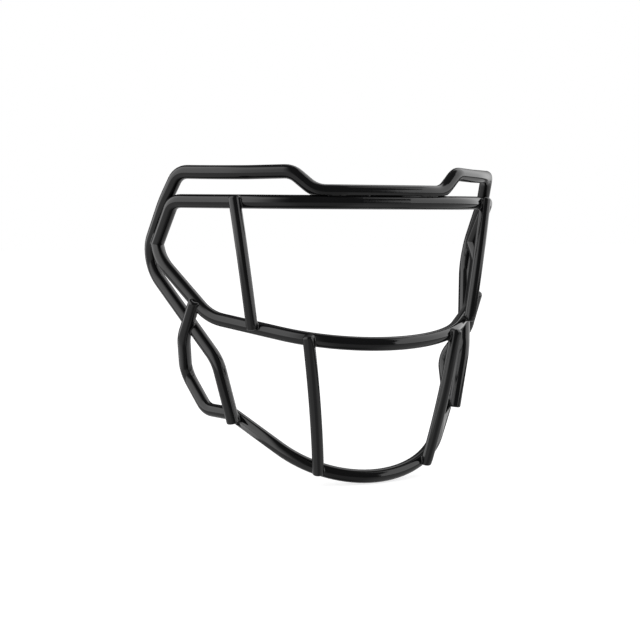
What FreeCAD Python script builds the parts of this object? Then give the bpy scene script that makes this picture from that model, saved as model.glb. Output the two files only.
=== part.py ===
"""Welded wire facemask for a football helmet, in millimetres.

X runs across the face, towards the wearer's left. Y runs from the front of the mask to the back, Z up.
The origin is the middle of the brow bar.
Four bent rods make the cage: top rail, brow bar, middle bar and jaw bar. Four thinner posts tie them together.
The mask is the same left and right, so each rod is given by its bends on the +X side.
"""
import os
import math

import FreeCAD
import Part
from FreeCAD import Vector

# Rod stock: bare steel, then a coat over the finished cage
MAIN_STEEL_DIAMETER = 6.0
POST_STEEL_DIAMETER = 5.0
COAT_THICKNESS = 0.6
WELD_SINK = 1.0
END_ROUNDING = 1.3
WELD_LEG = 0.5

# Brow bar: straight across the front, round the front bend, then down and back to the apex
FRONT_BEND = Vector(49.5, 0, 0)
FRONT_BEND_RADIUS = 76
BROW_CORNER = Vector(96, 57, 1.5)
BROW_CORNER_RADIUS = 10
APEX = Vector(99, 79, -21.5)

# Middle bar
MIDDLE_NOSE = Vector(0, -46.7, -80)
MIDDLE_NOSE_RADIUS = 67
MIDDLE_CHEEK = Vector(79.4, 47.9, -59.8)
MIDDLE_CHEEK_RADIUS = 26
MIDDLE_TEMPLE = Vector(98.6, 72.7, -30.3)
MIDDLE_TEMPLE_RADIUS = 30

# Top rail: centre dip, raised stretch, outer corner, rear corner, leg
DIP_SETBACK = 1.0
DIP_LAP = 5.0
DIP_BEND_RADIUS = 30
DIP_HALF_WIDTH = 36.3
DIP_END_RADIUS = 15
RAISED_START = Vector(47.3, 9.4, 15.2)
RAISED_START_RADIUS = 10
RAISED_BEND = Vector(77, 32.3, 15.6)
RAISED_BEND_RADIUS = 110
OUTER_CORNER = Vector(93.6, 53.6, 16.6)
OUTER_CORNER_RADIUS = 11
TEMPLE_BEND = Vector(98, 65.6, 1.7)
TEMPLE_BEND_RADIUS = 90
REAR_CORNER = Vector(102.3, 92.8, -30.1)
REAR_CORNER_RADIUS = 19
LEG_BEND = Vector(75.3, 47.7, -83.3)
LEG_BEND_RADIUS = 18
FOOT_FROM_JAW_HOOK = 4.2
FOOT_OVERHANG = 3.2

# Jaw bar: chin, hook behind the foot, side loop, upper end on the middle bar
JAW_CHIN = Vector(0, -23.1, -170.5)
JAW_CHIN_RADIUS = 58
JAW_HOOK = Vector(66.5, 50.6, -112.8)
JAW_HOOK_RADIUS = 8
JAW_LOWER_BEND = Vector(75.6, 67, -112.2)
JAW_LOWER_BEND_RADIUS = 11
JAW_REAR_BEND = Vector(82.3, 84.2, -92.7)
JAW_REAR_BEND_RADIUS = 9
JAW_SHOULDER_RADIUS = 26
JAW_END_FROM_CHEEK = 11.0
JAW_CROSSING_FROM_LEG_BEND = 24.5
JAW_SHOULDER_DROP = 6.0
JAW_END_OVERHANG = 2.6
# Centre to centre; the upper run is welded deeper than the other laps
JAW_END_LAP = 4.7
JAW_CROSSING_LAP = 5.0

# Posts: places across the bars, and how far each bows forward
EYE_POST_TOP_X = 70.0
EYE_POST_FOOT_X = 60.8
EYE_POST_BOW = 0.8
MOUTH_POST_TOP_X = 39.5
MOUTH_POST_FOOT_X = 29.8
MOUTH_POST_BOW = 2.0
POST_TOP_OVERHANG = 3.4
POST_FOOT_OVERHANG = 2.2

# Stitch welds where the dip lies on the brow bar
DIP_WELD_X = 20.0
DIP_WELD_LENGTH = 14.0

MAIN_DIAMETER = MAIN_STEEL_DIAMETER + 2 * COAT_THICKNESS
POST_DIAMETER = POST_STEEL_DIAMETER + 2 * COAT_THICKNESS
# The bare rods touch before coating, so their centres lie closer than two coated radii
MAIN_LAP = MAIN_STEEL_DIAMETER - WELD_SINK
POST_LAP = (MAIN_STEEL_DIAMETER + POST_STEEL_DIAMETER) / 2 - WELD_SINK

FORWARD = Vector(0, -1, 0)
OUTWARD = Vector(1, 0, 0)
# Each pass turns a lapped rod a little nearer to its own lap points; it settles in a few
SETTLING_PASSES = 12


def mirrored(point):
    return Vector(-point.x, point.y, point.z)


def unit(vector):
    return Vector(vector).normalize()


def whole_route(half):
    """Bends from the left end to the right end, from the centre-to-right list of (point, radius)."""
    centre_is_bend = abs(half[0][0].x) < 1e-9
    right = half[1:] if centre_is_bend else half
    left = [(mirrored(point), radius) for point, radius in reversed(right)]
    return left + (half[:1] if centre_is_bend else []) + right


def bend_edges(route):
    """Straight runs joined by tangent arcs, one arc for each bend between the two ends."""
    edges = []
    cursor = route[0][0]
    for before, bend, after in zip(route, route[1:], route[2:]):
        corner, radius = bend
        arriving = unit(corner - before[0])
        leaving = unit(after[0] - corner)
        turn = arriving.getAngle(leaving)
        setback = radius * math.tan(turn / 2)
        arc_start = corner - arriving * setback
        arc_end = corner + leaving * setback
        towards_centre = unit(leaving - arriving)
        centre = corner + towards_centre * (radius / math.cos(turn / 2))
        arc_middle = centre - towards_centre * radius
        edges.append(Part.LineSegment(cursor, arc_start).toShape())
        edges.append(Part.Arc(arc_start, arc_middle, arc_end).toShape())
        cursor = arc_end
    edges.append(Part.LineSegment(cursor, route[-1][0]).toShape())
    return edges


def rod_solid(edges, diameter):
    """Round bar along the edges: a cylinder on each straight run, a piece of a ring on each bend."""
    stretches = []
    for edge in edges:
        start = edge.valueAt(edge.FirstParameter)
        heading = edge.tangentAt(edge.FirstParameter)
        section = Part.Face(Part.Wire(Part.makeCircle(diameter / 2, start, heading)))
        if isinstance(edge.Curve, Part.Circle):
            circle = edge.Curve
            sweep = math.degrees(edge.LastParameter - edge.FirstParameter)
            stretches.append(section.revolve(circle.Center, circle.Axis, sweep))
        else:
            stretches.append(section.extrude(heading * edge.Length))
    return stretches[0].multiFuse(stretches[1:]).removeSplitter()


def round_ends(solid, ends, diameter):
    """Rounds the rim of each cut end, as the coat does."""
    rims = []
    for edge in solid.Edges:
        is_rim = isinstance(edge.Curve, Part.Circle) and abs(edge.Curve.Radius - diameter / 2) < 1e-6
        if is_rim and min(edge.Curve.Center.distanceToPoint(end) for end in ends) < 1e-3:
            rims.append(edge)
    return solid.makeFillet(END_ROUNDING, rims)


def place_at_x(edges, x):
    """Point and direction where a route crosses the plane X = x."""
    for edge in edges:
        low, high = edge.FirstParameter, edge.LastParameter
        if (edge.valueAt(low).x - x) * (edge.valueAt(high).x - x) > 0:
            continue
        for _ in range(60):
            middle = (low + high) / 2
            same_side = (edge.valueAt(low).x - x) * (edge.valueAt(middle).x - x) > 0
            low, high = (middle, high) if same_side else (low, middle)
        return edge.valueAt(low), edge.tangentAt(low)
    raise ValueError("the route doesn't reach that X")


def lap_normal(direction_a, direction_b, side):
    """Square to two rods that cross, pointing to the wanted side."""
    normal = unit(direction_a.cross(direction_b))
    return normal if normal.dot(side) > 0 else normal * -1


def lapped_line(lower, lower_direction, upper, upper_direction, gaps, side):
    """Points on a straight rod that laps two others on one side, each its own gap away from the centre line."""
    start, finish = lower, upper
    for _ in range(SETTLING_PASSES):
        heading = unit(finish - start)
        start = lower + lap_normal(lower_direction, heading, side) * gaps[0]
        finish = upper + lap_normal(upper_direction, heading, side) * gaps[1]
    return start, finish


# Routes of the four main rods


def brow_route():
    return whole_route([
        (FRONT_BEND, FRONT_BEND_RADIUS),
        (BROW_CORNER, BROW_CORNER_RADIUS),
        (APEX, 0),
    ])


def middle_route():
    return whole_route([
        (MIDDLE_NOSE, MIDDLE_NOSE_RADIUS),
        (MIDDLE_CHEEK, MIDDLE_CHEEK_RADIUS),
        (MIDDLE_TEMPLE, MIDDLE_TEMPLE_RADIUS),
        (APEX, 0),
    ])


def rail_beside_apex():
    """Nearest point to the apex on the rail's side run, before the run is moved to lap it."""
    heading = unit(REAR_CORNER - TEMPLE_BEND)
    return TEMPLE_BEND + heading * (APEX - TEMPLE_BEND).dot(heading)


def rail_side_shift():
    """Moves the rail's side run so that it lies one lap from the apex."""
    away = rail_beside_apex() - APEX
    return unit(away) * (MAIN_LAP - away.Length)


def jaw_upper_laps():
    """Places on the middle bar and the top rail that the jaw bar's upper run laps, and its own two laps."""
    middle_heading = unit(MIDDLE_TEMPLE - MIDDLE_CHEEK)
    rail_heading = unit(REAR_CORNER + rail_side_shift() - LEG_BEND)
    on_middle = MIDDLE_CHEEK + middle_heading * JAW_END_FROM_CHEEK
    on_rail = LEG_BEND + rail_heading * JAW_CROSSING_FROM_LEG_BEND
    gaps = (JAW_END_LAP, JAW_CROSSING_LAP)
    laps = lapped_line(on_middle, middle_heading, on_rail, rail_heading, gaps, OUTWARD)
    return (on_middle, on_rail), laps


def jaw_route():
    end_lap, crossing_lap = jaw_upper_laps()[1]
    heading = unit(crossing_lap - end_lap)
    return whole_route([
        (JAW_CHIN, JAW_CHIN_RADIUS),
        (JAW_HOOK, JAW_HOOK_RADIUS),
        (JAW_LOWER_BEND, JAW_LOWER_BEND_RADIUS),
        (JAW_REAR_BEND, JAW_REAR_BEND_RADIUS),
        (crossing_lap + heading * JAW_SHOULDER_DROP, JAW_SHOULDER_RADIUS),
        (end_lap - heading * JAW_END_OVERHANG, 0),
    ])


def foot_laps():
    """Place on the jaw bar that the rail's foot laps, and the foot's own lap in front of it."""
    jaw_heading = unit(JAW_CHIN - JAW_HOOK)
    on_jaw = JAW_HOOK + jaw_heading * FOOT_FROM_JAW_HOOK
    lap = on_jaw
    for _ in range(SETTLING_PASSES):
        lap = on_jaw + lap_normal(jaw_heading, lap - LEG_BEND, FORWARD) * MAIN_LAP
    return on_jaw, lap


def rail_route(brow_edges):
    lap_rise = math.sqrt(DIP_LAP ** 2 - DIP_SETBACK ** 2)
    off_brow = Vector(0, DIP_SETBACK, lap_rise)
    under_dip_end, heading = place_at_x(brow_edges, DIP_HALF_WIDTH)
    half_turn = heading.getAngle(OUTWARD) / 2
    under_dip_bend = under_dip_end - heading * (FRONT_BEND_RADIUS * math.tan(half_turn))
    shift = rail_side_shift()
    foot = foot_laps()[1]
    foot_end = foot + unit(foot - LEG_BEND) * FOOT_OVERHANG
    return whole_route([
        (under_dip_bend + off_brow, DIP_BEND_RADIUS),
        (under_dip_end + off_brow, DIP_END_RADIUS),
        (RAISED_START, RAISED_START_RADIUS),
        (RAISED_BEND, RAISED_BEND_RADIUS),
        (OUTER_CORNER, OUTER_CORNER_RADIUS),
        (TEMPLE_BEND + shift, TEMPLE_BEND_RADIUS),
        (REAR_CORNER + shift, REAR_CORNER_RADIUS),
        (LEG_BEND, LEG_BEND_RADIUS),
        (foot_end, 0),
    ])


def post_laps(upper_edges, upper_x, lower_edges, lower_x):
    """Places on two bars that a post laps, and the post's own two laps in front of them."""
    on_upper, upper_heading = place_at_x(upper_edges, upper_x)
    on_lower, lower_heading = place_at_x(lower_edges, lower_x)
    laps = lapped_line(on_upper, upper_heading, on_lower, lower_heading, (POST_LAP, POST_LAP), FORWARD)
    return (on_upper, on_lower), laps


# Solids


def main_rod(route):
    solid = rod_solid(bend_edges(route), MAIN_DIAMETER)
    return round_ends(solid, [route[0][0], route[-1][0]], MAIN_DIAMETER)


def mitred_rod(route, towards_rod):
    """Main rod whose two ends are cut along the planes that it shares with the other rod at the apexes."""
    past_left = route[0][0] + unit(route[0][0] - route[1][0]) * MAIN_DIAMETER
    past_right = route[-1][0] + unit(route[-1][0] - route[-2][0]) * MAIN_DIAMETER
    solid = rod_solid(bend_edges([(past_left, 0)] + route[1:-1] + [(past_right, 0)]), MAIN_DIAMETER)
    reach = 3 * MAIN_DIAMETER
    for place, away in ((APEX, towards_rod * -1), (mirrored(APEX), mirrored(towards_rod * -1))):
        solid = solid.cut(Part.makeCylinder(reach, reach, place, away))
    return solid


def post_solid(upper_lap, lower_lap, bow):
    """Thin rod with straight ends over its laps and one shallow bow between them."""
    heading = unit(lower_lap - upper_lap)
    middle = (upper_lap + lower_lap) / 2
    sideways = heading.cross(OUTWARD)
    bowed = middle + unit(sideways if sideways.dot(FORWARD) > 0 else sideways * -1) * bow
    arc = Part.Arc(upper_lap, bowed, lower_lap).toShape()
    top_end = upper_lap - arc.tangentAt(arc.FirstParameter) * POST_TOP_OVERHANG
    foot_end = lower_lap + arc.tangentAt(arc.LastParameter) * POST_FOOT_OVERHANG
    edges = [
        Part.LineSegment(top_end, upper_lap).toShape(),
        arc,
        Part.LineSegment(lower_lap, foot_end).toShape(),
    ]
    return round_ends(rod_solid(edges, POST_DIAMETER), [top_end, foot_end], POST_DIAMETER)


def lap_weld(on_bar, on_lapping_rod, lapping_diameter, rods):
    """Bead of weld metal round the place where one rod crosses another."""
    gap = on_bar.distanceToPoint(on_lapping_rod)
    cut_height = gap - lapping_diameter / 2
    half_footprint = math.sqrt((MAIN_DIAMETER / 2) ** 2 - cut_height ** 2)
    middle = (on_bar + on_lapping_rod) / 2
    ball = Part.makeSphere(half_footprint + WELD_LEG, middle, on_lapping_rod - on_bar)
    return ball.cut(Part.makeCompound(rods))


def dip_weld(brow_edges, rail_edges, rods):
    """Stitch along the two grooves between the dip and the brow bar."""
    on_brow, heading = place_at_x(brow_edges, DIP_WELD_X)
    on_rail, _ = place_at_x(rail_edges, DIP_WELD_X)
    half_groove = math.sqrt((MAIN_DIAMETER / 2) ** 2 - (on_brow.distanceToPoint(on_rail) / 2) ** 2)
    radius = half_groove + WELD_LEG
    middle = (on_brow + on_rail) / 2
    start = middle - heading * (DIP_WELD_LENGTH / 2)
    finish = middle + heading * (DIP_WELD_LENGTH / 2)
    core = Part.makeCylinder(radius, DIP_WELD_LENGTH, start, heading)
    stitch = core.multiFuse([Part.makeSphere(radius, start), Part.makeSphere(radius, finish)])
    return stitch.cut(Part.makeCompound(rods))


def add_pair(parts, name, left_solid):
    parts[name + "_left"] = left_solid
    parts[name + "_right"] = left_solid.mirror(Vector(0, 0, 0), OUTWARD)


def build():
    brow_bends = brow_route()
    middle_bends = middle_route()
    jaw_bends = jaw_route()
    brow_edges = bend_edges(brow_bends)
    middle_edges = bend_edges(middle_bends)
    jaw_edges = bend_edges(jaw_bends)
    rail_bends = rail_route(brow_edges)
    rail_edges = bend_edges(rail_bends)

    mitre_normal = unit(unit(APEX - BROW_CORNER) + unit(MIDDLE_TEMPLE - APEX))
    brow = mitred_rod(brow_bends, mitre_normal * -1)
    middle = mitred_rod(middle_bends, mitre_normal)
    rail = main_rod(rail_bends)
    jaw = main_rod(jaw_bends)
    on_eye_bars, eye_laps = post_laps(brow_edges, EYE_POST_TOP_X, middle_edges, EYE_POST_FOOT_X)
    on_mouth_bars, mouth_laps = post_laps(middle_edges, MOUTH_POST_TOP_X, jaw_edges, MOUTH_POST_FOOT_X)
    eye_post = post_solid(*eye_laps, EYE_POST_BOW)
    mouth_post = post_solid(*mouth_laps, MOUTH_POST_BOW)

    # Where two rods lap, the one that was laid on second is hollowed to seat on the first
    parts = {
        "brow_bar": brow,
        "middle_bar": middle,
        "top_rail": rail.cut(brow).cut(middle),
        "jaw_bar": jaw.cut(middle).cut(rail),
    }
    add_pair(parts, "eye_post", eye_post.cut(brow).cut(middle))
    add_pair(parts, "mouth_post", mouth_post.cut(middle).cut(jaw))

    (on_middle, on_rail), (jaw_end, jaw_crossing) = jaw_upper_laps()
    on_jaw, foot = foot_laps()
    beside_apex = rail_beside_apex() + rail_side_shift()
    add_pair(parts, "dip_weld", dip_weld(brow_edges, rail_edges, [brow, rail]))
    add_pair(parts, "apex_weld", lap_weld(APEX, beside_apex, MAIN_DIAMETER, [brow, middle, rail]))
    add_pair(parts, "jaw_end_weld", lap_weld(on_middle, jaw_end, MAIN_DIAMETER, [middle, jaw]))
    add_pair(parts, "jaw_crossing_weld", lap_weld(on_rail, jaw_crossing, MAIN_DIAMETER, [rail, jaw]))
    add_pair(parts, "foot_weld", lap_weld(on_jaw, foot, MAIN_DIAMETER, [jaw, rail]))
    add_pair(parts, "eye_post_top_weld",
             lap_weld(on_eye_bars[0], eye_laps[0], POST_DIAMETER, [brow, eye_post]))
    add_pair(parts, "eye_post_foot_weld",
             lap_weld(on_eye_bars[1], eye_laps[1], POST_DIAMETER, [middle, eye_post]))
    add_pair(parts, "mouth_post_top_weld",
             lap_weld(on_mouth_bars[0], mouth_laps[0], POST_DIAMETER, [middle, mouth_post]))
    add_pair(parts, "mouth_post_foot_weld",
             lap_weld(on_mouth_bars[1], mouth_laps[1], POST_DIAMETER, [jaw, mouth_post]))
    return parts


if __name__ == "__main__":
    os.makedirs("parts", exist_ok=True)
    for name, solid in build().items():
        solid.exportStep(f"parts/{name}.step")
        print(name, len(solid.Solids), round(solid.Volume, 1), solid.isValid())
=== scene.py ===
"""Studio look of a welded football helmet facemask, round its packed rods and welds.

Everything is in metres, in the frame of the CAD model.
"""

import math

import bmesh
import bpy
from bpy.props import FloatProperty, FloatVectorProperty, IntProperty, PointerProperty
from mathutils import Matrix, Vector


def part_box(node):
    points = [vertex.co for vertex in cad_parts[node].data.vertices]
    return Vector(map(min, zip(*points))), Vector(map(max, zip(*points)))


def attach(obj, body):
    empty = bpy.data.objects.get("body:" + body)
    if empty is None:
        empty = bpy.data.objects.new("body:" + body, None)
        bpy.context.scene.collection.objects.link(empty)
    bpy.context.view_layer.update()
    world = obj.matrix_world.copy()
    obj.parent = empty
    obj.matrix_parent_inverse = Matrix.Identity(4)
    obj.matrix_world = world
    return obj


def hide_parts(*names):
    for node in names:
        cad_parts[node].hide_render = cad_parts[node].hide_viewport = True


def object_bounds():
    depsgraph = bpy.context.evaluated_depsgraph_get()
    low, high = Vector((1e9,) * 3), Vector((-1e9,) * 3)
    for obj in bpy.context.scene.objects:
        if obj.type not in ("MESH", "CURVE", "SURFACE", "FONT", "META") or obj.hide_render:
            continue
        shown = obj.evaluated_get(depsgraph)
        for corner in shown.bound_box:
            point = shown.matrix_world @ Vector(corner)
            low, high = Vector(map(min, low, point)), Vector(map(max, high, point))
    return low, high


bl_info = {
    "name": "Football Helmet Facemask",
    "version": (1, 0, 0),
    "blender": (4, 5, 0),
    "location": "View3D > Sidebar > Facemask",
    "description": "Coats the rods, blends the welds and sets up the studio",
    "category": "Object",
}

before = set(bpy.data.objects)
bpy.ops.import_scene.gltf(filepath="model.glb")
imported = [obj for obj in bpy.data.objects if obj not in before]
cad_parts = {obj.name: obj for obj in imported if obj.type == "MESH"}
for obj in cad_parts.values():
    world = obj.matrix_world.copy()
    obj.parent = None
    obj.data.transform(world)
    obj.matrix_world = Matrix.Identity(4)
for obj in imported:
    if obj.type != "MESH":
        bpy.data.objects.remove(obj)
cad_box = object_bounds()

# Rods that each kind of weld joins; a {side} is left or right
WELDS = {
    "dip_weld": ("brow_bar", "top_rail"),
    "apex_weld": ("brow_bar", "middle_bar", "top_rail"),
    "jaw_end_weld": ("middle_bar", "jaw_bar"),
    "jaw_crossing_weld": ("top_rail", "jaw_bar"),
    "foot_weld": ("jaw_bar", "top_rail"),
    "eye_post_top_weld": ("brow_bar", "eye_post_{side}"),
    "eye_post_foot_weld": ("middle_bar", "eye_post_{side}"),
    "mouth_post_top_weld": ("middle_bar", "mouth_post_{side}"),
    "mouth_post_foot_weld": ("jaw_bar", "mouth_post_{side}"),
}
SIDES = ("left", "right")
# Rods with a run or an end that is dressed; the others stay as they are
DRESSED = (
    "top_rail", "jaw_bar",
    "eye_post_left", "eye_post_right", "mouth_post_left", "mouth_post_right",
)

# Distances within which two points are one, and within which a point lies on a plane
SAME_POINT = 1e-6
ON_PLANE = 1e-7
# Edges that turn by more than this stay sharp
SHARP_EDGE = math.radians(38)

# How far up from its lowest point each kind of foot is dressed
RAIL_FOOT_REACH = 0.006
EYE_POST_FOOT_REACH = 0.005
MOUTH_POST_FOOT_REACH = 0.004
# Heights above the lowest point of a foot's tip and of the shaft that gives its direction
TIP_HEIGHT = 0.001
SHAFT_HEIGHT = 0.04
# How late in its run the jaw bar's lean sets in; 1 is an even lean
LEAN_CURVE = 1.3

# Coat
RIPPLE_DETAIL = 2.0
WANDER_SCALE = 70.0
WANDER_DETAIL = 3.0
COAT_INDEX = 1.5

# Studio as reflections see it, in degrees of turn about the vertical (0 in front, plus to the
# wearer's left) and of height. Each wall has its low edge, its high edge and the fade outside each
RIGHT_WALL_TURN = (-142, -72, 15, 40)
RIGHT_WALL_HEIGHT = (-10, 62, 3, 12)
LEFT_WALL_TURN = (28.5, 112, 2, 40)
LEFT_WALL_HEIGHT = (-5, 52, 3, 16)
# The near edge of the left wall leans back by so much between two heights
LEFT_WALL_LEAN = 28
LEFT_WALL_LEAN_RISE = (15, 70)
# The ground ends at the horizon, is darkest in front, brighter to the sides and black far below
HORIZON = (-13, -10)
GROUND_BELOW = (-85, -50)
GROUND_FRONT = -4
GROUND_TO_SIDES = (18, 45)
GROUND_GLOW = 0.24
GROUND_SIDE_GLOW = 0.3
ROOM_GLOW = 0.11

# Softboxes: where each hangs and how bright its face is
SOFTBOXES = {
    "right_softbox": ((-1.3, -0.2, 0.7), 0.7),
    "left_softbox": ((1.3, -0.3, 0.7), 0.6),
}
SOFTBOX_WIDTH = 1.6
SOFTBOX_HEIGHT = 1.2
WHITE = (1, 1, 1, 1)
# Width of the camera's sensor, in millimetres
SENSOR_WIDTH = 36


# Node maths


class Socket:
    """An output socket or a number, with operators that add Math nodes."""

    def __init__(self, tree, value):
        self.tree = tree
        self.value = value

    def node(self, kind, settings=(), inputs=(), output=0):
        """Adds a node, sets it up, feeds its sockets and returns one of its outputs."""
        made = self.tree.nodes.new(kind)
        for name, value in dict(settings).items():
            setattr(made, name, value)
        for key, value in dict(inputs).items():
            if isinstance(value, Socket):
                value = value.value
            if isinstance(value, bpy.types.NodeSocket):
                self.tree.links.new(value, made.inputs[key])
            else:
                made.inputs[key].default_value = value
        return Socket(self.tree, made.outputs[output]) if made.outputs else None

    def math(self, operation, first, second=0.0):
        return self.node("ShaderNodeMath", {"operation": operation}, {0: first, 1: second})

    def __add__(self, other):
        return self.math("ADD", self, other)

    __radd__ = __add__

    def __sub__(self, other):
        return self.math("SUBTRACT", self, other)

    def __rsub__(self, other):
        return self.math("SUBTRACT", other, self)

    def __mul__(self, other):
        return self.math("MULTIPLY", self, other)

    __rmul__ = __mul__

    def rise(self, low, high):
        """0 below low, 1 above high, smooth between them."""
        limits = {"From Min": low, "From Max": high}
        smooth = {"interpolation_type": "SMOOTHSTEP", "clamp": True}
        return self.node("ShaderNodeMapRange", smooth, {"Value": self, **limits})

    def between(self, low, high, low_fade, high_fade):
        """1 from low to high, fading to 0 outside them."""
        return self.rise(low - low_fade, low) * (1 - self.rise(high, high + high_fade))


def new_material(name):
    """Material with an empty node tree, and a Socket to build it from."""
    material = bpy.data.materials.new(name)
    material.use_nodes = True
    material.node_tree.nodes.clear()
    return material, Socket(material.node_tree, None)


# Settings


class CoatSettings(bpy.types.PropertyGroup):
    colour: FloatVectorProperty(
        name="Coat Colour", description="Colour of the gloss coat",
        subtype="COLOR", size=3, min=0, max=1, default=(0.004, 0.004, 0.0045))
    roughness: FloatProperty(
        name="Roughness", description="Blur of the coat's reflections",
        subtype="FACTOR", min=0, max=1, default=0.09)
    roughness_spread: FloatProperty(
        name="Roughness Spread", description="How much the blur varies over the coat",
        subtype="FACTOR", min=0, max=1, default=0.03)
    gloss: FloatProperty(
        name="Gloss", description="Strength of the coat's reflections",
        subtype="FACTOR", min=0, max=1, default=0.5)
    peel_size: FloatProperty(
        name="Orange Peel Size", description="Width of the coat's slow ripples",
        unit="LENGTH", min=0.0001, default=0.0016)
    peel_height: FloatProperty(
        name="Orange Peel Height", description="Height of the coat's slow ripples",
        unit="LENGTH", min=0, default=0.000006)


class EndSettings(bpy.types.PropertyGroup):
    rail_cut: FloatProperty(
        name="Rail Foot Cut", description="How much is dressed off the rail's feet",
        unit="LENGTH", min=0, default=0.0016)
    eye_post_cut: FloatProperty(
        name="Eye Post Cut", description="How much is dressed off the eye posts' feet",
        unit="LENGTH", min=0, default=0.0022)
    mouth_post_cut: FloatProperty(
        name="Mouth Post Cut", description="How much is dressed off the mouth posts' feet",
        unit="LENGTH", min=0, default=0.001)
    lean_in: FloatProperty(
        name="Lean In", description="How far the jaw bar's upper ends lean inwards",
        unit="LENGTH", default=0.0024)
    lean_back: FloatProperty(
        name="Lean Back", description="How far the middle of the jaw bar's upper runs bends back",
        unit="LENGTH", default=0.0021)
    lean_from: FloatProperty(
        name="Lean From", description="Height where the lean begins",
        unit="LENGTH", default=-0.080)
    lean_to: FloatProperty(
        name="Lean To", description="Height of the leaning ends",
        unit="LENGTH", default=-0.050)
    dip_lift: FloatProperty(
        name="Dip Lift", description="How far the rail's dip is raised off the brow bar",
        unit="LENGTH", default=0.0005)
    lift_from: FloatProperty(
        name="Lift From", description="Half the width that is raised in full",
        unit="LENGTH", default=0.046)
    lift_to: FloatProperty(
        name="Lift To", description="Half the width past which nothing is raised",
        unit="LENGTH", default=0.062)


class JointSettings(bpy.types.PropertyGroup):
    margin: FloatProperty(
        name="Margin", description="How far past a weld its rods are blended",
        unit="LENGTH", min=0.0005, default=0.0025)
    grain: FloatProperty(
        name="Grain", description="Size of the cells that the blend is made in",
        unit="LENGTH", min=0.0001, default=0.0003)
    sink: FloatProperty(
        name="Sink", description="How far the blend lies under the rods' own coat",
        unit="LENGTH", min=0, default=0.00005)
    dip_sink: FloatProperty(
        name="Dip Sink", description="The same for the stitches between the dip and the brow bar",
        unit="LENGTH", min=0, default=0.0004)
    passes: IntProperty(
        name="Smoothing", description="How many times the blend is smoothed", min=0, default=14)


class StudioSettings(bpy.types.PropertyGroup):
    camera_place: FloatVectorProperty(
        name="Camera Place", description="Where the camera stands",
        subtype="TRANSLATION", unit="LENGTH", size=3, default=(-0.2545, -0.5147, -0.0123))
    azimuth: FloatProperty(
        name="Azimuth", description="Turn of the view about the vertical, 0 from straight in front",
        subtype="ANGLE", default=math.radians(-22.99))
    elevation: FloatProperty(
        name="Elevation", description="Height of the view above the horizon",
        subtype="ANGLE", default=math.radians(4.8))
    roll: FloatProperty(
        name="Roll", description="Lean of the camera", subtype="ANGLE", default=math.radians(-0.165))
    focal_length: FloatProperty(
        name="Focal Length", description="Lens of the camera", unit="CAMERA", min=1, default=62.47)
    floor_size: FloatProperty(
        name="Floor Size", description="Width of the floor", unit="LENGTH", min=0.1, default=12.0)
    floor_colour: FloatVectorProperty(
        name="Floor Colour", description="Colour of the floor",
        subtype="COLOR", size=3, min=0, max=1, default=(0.85, 0.85, 0.85))
    floor_glow: FloatProperty(
        name="Floor Glow", description="White that the floor shows besides the light on it",
        min=0, default=0.72)
    sky_light: FloatProperty(
        name="Sky Light", description="Strength of the light from all round", min=0, default=0.45)
    right_wall: FloatProperty(
        name="Right Wall", description="Brightness of the wall on the wearer's right in reflections",
        min=0, default=1.8)
    left_wall: FloatProperty(
        name="Left Wall", description="Brightness of the wall on the wearer's left in reflections",
        min=0, default=1.65)


# Each group of settings, by its name in the scene
GROUPS = {
    "facemask_coat": CoatSettings,
    "facemask_ends": EndSettings,
    "facemask_joint": JointSettings,
    "facemask_studio": StudioSettings,
}


# Coat


def coat_material(name, coat):
    """Thick black gloss dip: slow ripples, and a blur that wanders a little."""
    material, start = new_material(name)
    place = start.node("ShaderNodeTexCoord", output="Object")
    ripples = start.node(
        "ShaderNodeTexNoise", {},
        {"Vector": place, "Scale": 1 / coat.peel_size, "Detail": RIPPLE_DETAIL})
    wander = start.node(
        "ShaderNodeTexNoise", {},
        {"Vector": place, "Scale": WANDER_SCALE, "Detail": WANDER_DETAIL})
    blur = coat.roughness + (wander - 0.5) * coat.roughness_spread * 2
    relief = start.node(
        "ShaderNodeBump", {}, {"Height": ripples, "Distance": coat.peel_height, "Strength": 1.0})
    shader = start.node(
        "ShaderNodeBsdfPrincipled", {},
        {"Base Color": (*coat.colour, 1), "Roughness": blur, "Normal": relief,
         "Specular IOR Level": coat.gloss, "IOR": COAT_INDEX})
    start.node("ShaderNodeOutputMaterial", {}, {"Surface": shader})
    return material


class FACEMASK_OT_coat_rods(bpy.types.Operator):
    """Gives every rod and weld its gloss black coat"""
    bl_idname = "facemask.coat_rods"
    bl_label = "Coat Rods"

    def execute(self, context):
        material = coat_material("gloss_black_coat", context.scene.facemask_coat)
        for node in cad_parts.values():
            for slot in node.material_slots:
                slot.material = material
        return {"FINISHED"}


# Dressed rods

# Each dressed copy, by the name of its rod
dressed_rods = {}


def rod_object(name):
    """The rod as it is seen: its dressed copy where it has one."""
    return dressed_rods.get(name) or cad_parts[name]


def clamp(value):
    return min(max(value, 0.0), 1.0)


def cut_back_feet(shape, length, reach):
    """Shortens the rod's lower end on each side along the rod, as far up as the reach."""
    for side in (1, -1):
        verts = [v for v in shape.verts if v.co.x * side > 0]
        if not verts:
            continue
        low = min(v.co.z for v in verts)
        tip = [v.co for v in verts if v.co.z < low + TIP_HEIGHT]
        shaft = [v.co for v in verts if low + reach < v.co.z < low + SHAFT_HEIGHT]
        axis = (sum(shaft, Vector()) / len(shaft) - sum(tip, Vector()) / len(tip)).normalized()
        for vert in verts:
            share = clamp(1 - (vert.co.z - low) / reach)
            vert.co += axis * length * share


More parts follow.
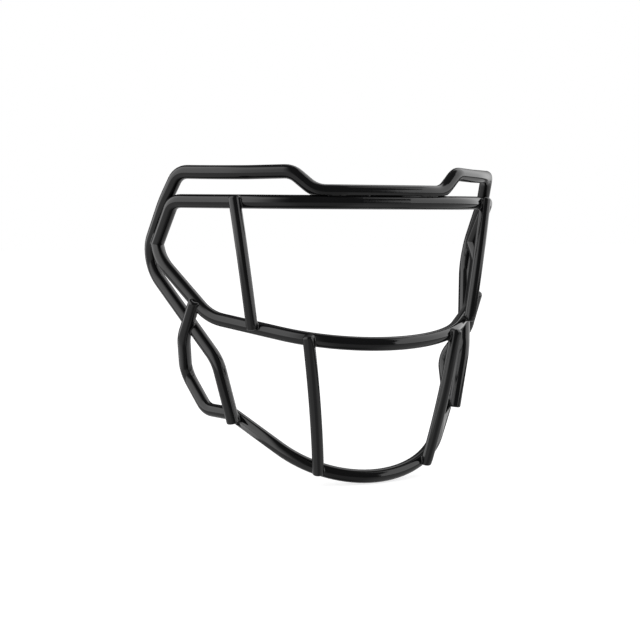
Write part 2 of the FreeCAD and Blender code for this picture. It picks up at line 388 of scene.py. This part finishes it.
def lean_jaw_ends(shape, ends):
    """Leans the jaw bar's two upper runs inwards onto the middle bar, and bows them back."""
    for vert in shape.verts:
        share = clamp((vert.co.z - ends.lean_from) / (ends.lean_to - ends.lean_from))
        inwards = -1 if vert.co.x > 0 else 1
        vert.co.x += inwards * ends.lean_in * share ** LEAN_CURVE
        vert.co.y += ends.lean_back * 4 * share * (1 - share)


def lift_dip(shape, ends):
    """Raises the rail's dip off the brow bar, fading out at the foot of the raised stretches."""
    for vert in shape.verts:
        if vert.co.z > 0:
            share = clamp((ends.lift_to - abs(vert.co.x)) / (ends.lift_to - ends.lift_from))
            vert.co.z += ends.dip_lift * share


def dressed_copy(name, ends):
    """Closed copy of a rod, shaped as its kind asks."""
    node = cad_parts[name]
    shape = bmesh.new()
    shape.from_mesh(node.data)
    bmesh.ops.remove_doubles(shape, verts=shape.verts, dist=SAME_POINT)
    if name == "jaw_bar":
        lean_jaw_ends(shape, ends)
    elif name == "top_rail":
        cut_back_feet(shape, ends.rail_cut, RAIL_FOOT_REACH)
        lift_dip(shape, ends)
    elif name.startswith("eye_post"):
        cut_back_feet(shape, ends.eye_post_cut, EYE_POST_FOOT_REACH)
    else:
        cut_back_feet(shape, ends.mouth_post_cut, MOUTH_POST_FOOT_REACH)
    for face in shape.faces:
        face.smooth = True
    mesh = bpy.data.meshes.new(name + "_dressed")
    shape.to_mesh(mesh)
    shape.free()
    mesh.set_sharp_from_angle(angle=SHARP_EDGE)
    mesh.materials.append(node.material_slots[0].material)
    piece = bpy.data.objects.new(name + "_dressed", mesh)
    bpy.context.scene.collection.objects.link(piece)
    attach(piece, "root")
    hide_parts(name)
    return piece


class FACEMASK_OT_dress_ends(bpy.types.Operator):
    """Dresses the feet of the rail and posts, the rail's dip and the jaw bar's upper runs"""
    bl_idname = "facemask.dress_ends"
    bl_label = "Dress Rod Ends"

    def execute(self, context):
        ends = context.scene.facemask_ends
        for name in DRESSED:
            dressed_rods[name] = dressed_copy(name, ends)
        return {"FINISHED"}


# Blended welds


def cut_to_box(shape, low, high):
    """Keeps what lies between two corners, and closes the cuts."""
    for corner, side in ((low, -1), (high, 1)):
        for axis in range(3):
            normal = Vector((0, 0, 0))
            normal[axis] = side
            bmesh.ops.bisect_plane(
                shape, geom=shape.verts[:] + shape.edges[:] + shape.faces[:], dist=ON_PLANE,
                plane_co=corner, plane_no=normal, clear_outer=True)
            bmesh.ops.holes_fill(shape, edges=shape.edges, sides=0)


def rod_stubs(name, rods, low, high):
    """Mesh of the rods' stretches between two corners."""
    stubs = bmesh.new()
    for rod in rods:
        stub = bmesh.new()
        stub.from_mesh(rod_object(rod).data)
        bmesh.ops.remove_doubles(stub, verts=stub.verts, dist=SAME_POINT)
        cut_to_box(stub, low, high)
        loose = bpy.data.meshes.new("stub")
        stub.to_mesh(loose)
        stub.free()
        stubs.from_mesh(loose)
        bpy.data.meshes.remove(loose)
    mesh = bpy.data.meshes.new(name)
    stubs.to_mesh(mesh)
    stubs.free()
    return mesh


def grow_together(name, mesh, grain):
    """One closed skin round all the shapes of a mesh, in place of the mesh."""
    grown = bpy.data.objects.new(name, mesh)
    bpy.context.scene.collection.objects.link(grown)
    remesh = grown.modifiers.new("grow together", "REMESH")
    remesh.mode = "VOXEL"
    remesh.voxel_size = grain
    depsgraph = bpy.context.evaluated_depsgraph_get()
    skin = bpy.data.meshes.new_from_object(grown.evaluated_get(depsgraph))
    bpy.data.objects.remove(grown)
    bpy.data.meshes.remove(mesh)
    return skin


def smooth_and_sink(mesh, passes, sink):
    """Fills the hollows of a mesh by smoothing it, then draws its whole surface inwards."""
    shape = bmesh.new()
    shape.from_mesh(mesh)
    for _ in range(passes):
        bmesh.ops.smooth_vert(
            shape, verts=shape.verts, factor=0.5,
            use_axis_x=True, use_axis_y=True, use_axis_z=True)
    shape.normal_update()
    for vert, normal in [(v, v.normal.copy()) for v in shape.verts]:
        vert.co -= normal * sink
    for face in shape.faces:
        face.smooth = True
    shape.to_mesh(mesh)
    shape.free()


def joint_mesh(name, weld, rods, joint, sink):
    """The rods round a weld, grown together so that only the fill between them stands proud."""
    margin = Vector((1, 1, 1)) * joint.margin
    low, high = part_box(weld)
    stubs = rod_stubs(name, rods, low - margin, high + margin)
    mesh = grow_together(name, stubs, joint.grain)
    smooth_and_sink(mesh, joint.passes, sink)
    return mesh


class FACEMASK_OT_blend_welds(bpy.types.Operator):
    """Makes the coat run smoothly over every weld, in place of the plain beads"""
    bl_idname = "facemask.blend_welds"
    bl_label = "Blend Welds"

    def execute(self, context):
        joint = context.scene.facemask_joint
        material = coat_material("gloss_black_weld_coat", context.scene.facemask_coat)
        for kind, rods in WELDS.items():
            for side in SIDES:
                weld = f"{kind}_{side}"
                name = weld.replace("weld", "blend")
                sink = joint.dip_sink if kind == "dip_weld" else joint.sink
                own_rods = [rod.format(side=side) for rod in rods]
                mesh = joint_mesh(name, weld, own_rods, joint, sink)
                mesh.materials.clear()
                mesh.materials.append(material)
                blend = bpy.data.objects.new(name, mesh)
                context.scene.collection.objects.link(blend)
                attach(blend, "root")
                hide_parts(weld)
        return {"FINISHED"}


# Studio


def place_camera(studio):
    turn, rise = studio.azimuth, studio.elevation
    back = Vector((math.sin(turn) * math.cos(rise), -math.cos(turn) * math.cos(rise), math.sin(rise)))
    data = bpy.data.cameras.new("camera")
    data.sensor_width = SENSOR_WIDTH
    data.lens = studio.focal_length
    camera = bpy.data.objects.new("camera", data)
    bpy.context.scene.collection.objects.link(camera)
    level = (-back).to_track_quat("-Z", "Y").to_matrix()
    lean = Matrix.Rotation(studio.roll, 3, "Z")
    camera.matrix_world = Matrix.Translation(studio.camera_place) @ (level @ lean).to_4x4()
    bpy.context.scene.camera = camera


def light_paths(start):
    """Kinds of ray, each 1 or 0: camera, glossy and transmission."""
    path = start.node("ShaderNodeLightPath")
    outputs = path.value.node.outputs
    kinds = ("Is Camera Ray", "Is Glossy Ray", "Is Transmission Ray")
    return [Socket(start.tree, outputs[kind]) for kind in kinds]


def floor_material(studio):
    """Plain white floor that keeps a soft shadow."""
    material, start = new_material("studio_floor")
    camera, glossy, transmission = light_paths(start)
    seen = start.math("MAXIMUM", start.math("MAXIMUM", camera, glossy), transmission)
    lit = start.node("ShaderNodeBsdfDiffuse", {}, {"Color": (*studio.floor_colour, 1)})
    white = start.node("ShaderNodeEmission", {}, {"Color": WHITE, "Strength": studio.floor_glow})
    both = start.node("ShaderNodeAddShader", {}, {0: lit, 1: white})
    shader = start.node("ShaderNodeMixShader", {}, {0: seen, 1: lit, 2: both})
    start.node("ShaderNodeOutputMaterial", {}, {"Surface": shader})
    return material


def lay_floor(studio):
    mesh = bpy.data.meshes.new("studio_floor")
    shape = bmesh.new()
    bmesh.ops.create_grid(shape, x_segments=1, y_segments=1, size=studio.floor_size / 2)
    bmesh.ops.translate(shape, verts=shape.verts, vec=(0, 0, cad_box[0].z))
    shape.to_mesh(mesh)
    shape.free()
    mesh.materials.append(floor_material(studio))
    floor = bpy.data.objects.new("studio_floor", mesh)
    # The coat sees the studio's own ground, drawn in the world, and not this floor
    floor.visible_glossy = False
    bpy.context.scene.collection.objects.link(floor)


def studio_round_about(start, studio):
    """Brightness by direction: a white wall on each side, a dark front and back, and grey ground."""
    direction = start.node("ShaderNodeTexCoord", output="Generated")
    parts = start.node("ShaderNodeSeparateXYZ", {}, {"Vector": direction}).value.node.outputs
    x, y, z = (Socket(start.tree, parts[axis]) for axis in "XYZ")
    turn = start.math("ARCTAN2", x, 0 - y) * math.degrees(1)
    height = start.math("ARCSINE", z) * math.degrees(1)
    right_wall = turn.between(*RIGHT_WALL_TURN) * height.between(*RIGHT_WALL_HEIGHT)
    lean = height.rise(*LEFT_WALL_LEAN_RISE) * LEFT_WALL_LEAN
    left_wall = (turn - lean).between(*LEFT_WALL_TURN) * height.between(*LEFT_WALL_HEIGHT)
    walls = right_wall * studio.right_wall + left_wall * studio.left_wall
    off_front = start.math("ABSOLUTE", turn - GROUND_FRONT)
    ground_glow = off_front.rise(*GROUND_TO_SIDES) * GROUND_SIDE_GLOW + GROUND_GLOW
    ground = (1 - height.rise(*HORIZON)) * ground_glow * height.rise(*GROUND_BELOW)
    return walls + ground + ROOM_GLOW


def light_world(studio):
    world = bpy.data.worlds.new("studio_world")
    world.use_nodes = True
    world.node_tree.nodes.clear()
    start = Socket(world.node_tree, None)
    camera, glossy, transmission = light_paths(start)
    all_round, white, walls = (
        start.node("ShaderNodeBackground", {}, {"Color": WHITE, "Strength": strength})
        for strength in (studio.sky_light, 1.0, studio_round_about(start, studio)))
    seen = start.math("MAXIMUM", camera, transmission)
    plain = start.node("ShaderNodeMixShader", {}, {0: seen, 1: all_round, 2: white})
    shader = start.node("ShaderNodeMixShader", {}, {0: glossy, 1: plain, 2: walls})
    start.node("ShaderNodeOutputWorld", {}, {"Surface": shader})
    bpy.context.scene.world = world


def hang_softbox(name, place, radiance, target):
    """Area lamp facing the target. Its power follows from its size and how bright its face is."""
    data = bpy.data.lights.new(name, "AREA")
    data.shape = "RECTANGLE"
    data.size = SOFTBOX_WIDTH
    data.size_y = SOFTBOX_HEIGHT
    data.energy = radiance * math.pi * SOFTBOX_WIDTH * SOFTBOX_HEIGHT
    lamp = bpy.data.objects.new(name, data)
    lamp.visible_glossy = False
    towards = (Vector(target) - Vector(place)).normalized()
    facing = towards.to_track_quat("-Z", "Y").to_matrix().to_4x4()
    lamp.matrix_world = Matrix.Translation(place) @ facing
    bpy.context.scene.collection.objects.link(lamp)


class FACEMASK_OT_set_up_studio(bpy.types.Operator):
    """Adds the camera, the floor, the softboxes and the world"""
    bl_idname = "facemask.set_up_studio"
    bl_label = "Set Up Studio"

    def execute(self, context):
        studio = context.scene.facemask_studio
        place_camera(studio)
        lay_floor(studio)
        light_world(studio)
        middle = (cad_box[0] + cad_box[1]) / 2
        for name, (place, radiance) in SOFTBOXES.items():
            hang_softbox(name, place, radiance, middle)
        context.scene.view_settings.view_transform = "Standard"
        return {"FINISHED"}


class FACEMASK_PT_panel(bpy.types.Panel):
    """Steps of the facemask, in order"""
    bl_idname = "FACEMASK_PT_panel"
    bl_label = "Facemask"
    bl_space_type = "VIEW_3D"
    bl_region_type = "UI"
    bl_category = "Facemask"

    def draw(self, context):
        for group_name in GROUPS:
            group = getattr(context.scene, group_name)
            column = self.layout.column()
            for name in group.bl_rna.properties.keys():
                if name not in ("rna_type", "name"):
                    column.prop(group, name)
        for operator in OPERATORS:
            self.layout.operator(operator.bl_idname)


OPERATORS = (
    FACEMASK_OT_coat_rods, FACEMASK_OT_dress_ends, FACEMASK_OT_blend_welds, FACEMASK_OT_set_up_studio)
CLASSES = (*GROUPS.values(), *OPERATORS, FACEMASK_PT_panel)


def register():
    for kind in CLASSES:
        bpy.utils.register_class(kind)
    for name, group in GROUPS.items():
        setattr(bpy.types.Scene, name, PointerProperty(type=group))


def unregister():
    for name in GROUPS:
        delattr(bpy.types.Scene, name)
    for kind in reversed(CLASSES):
        bpy.utils.unregister_class(kind)


def main():
    register()
    bpy.ops.facemask.coat_rods()
    bpy.ops.facemask.dress_ends()
    bpy.ops.facemask.blend_welds()
    bpy.ops.facemask.set_up_studio()


if __name__ == "__main__":
    main()
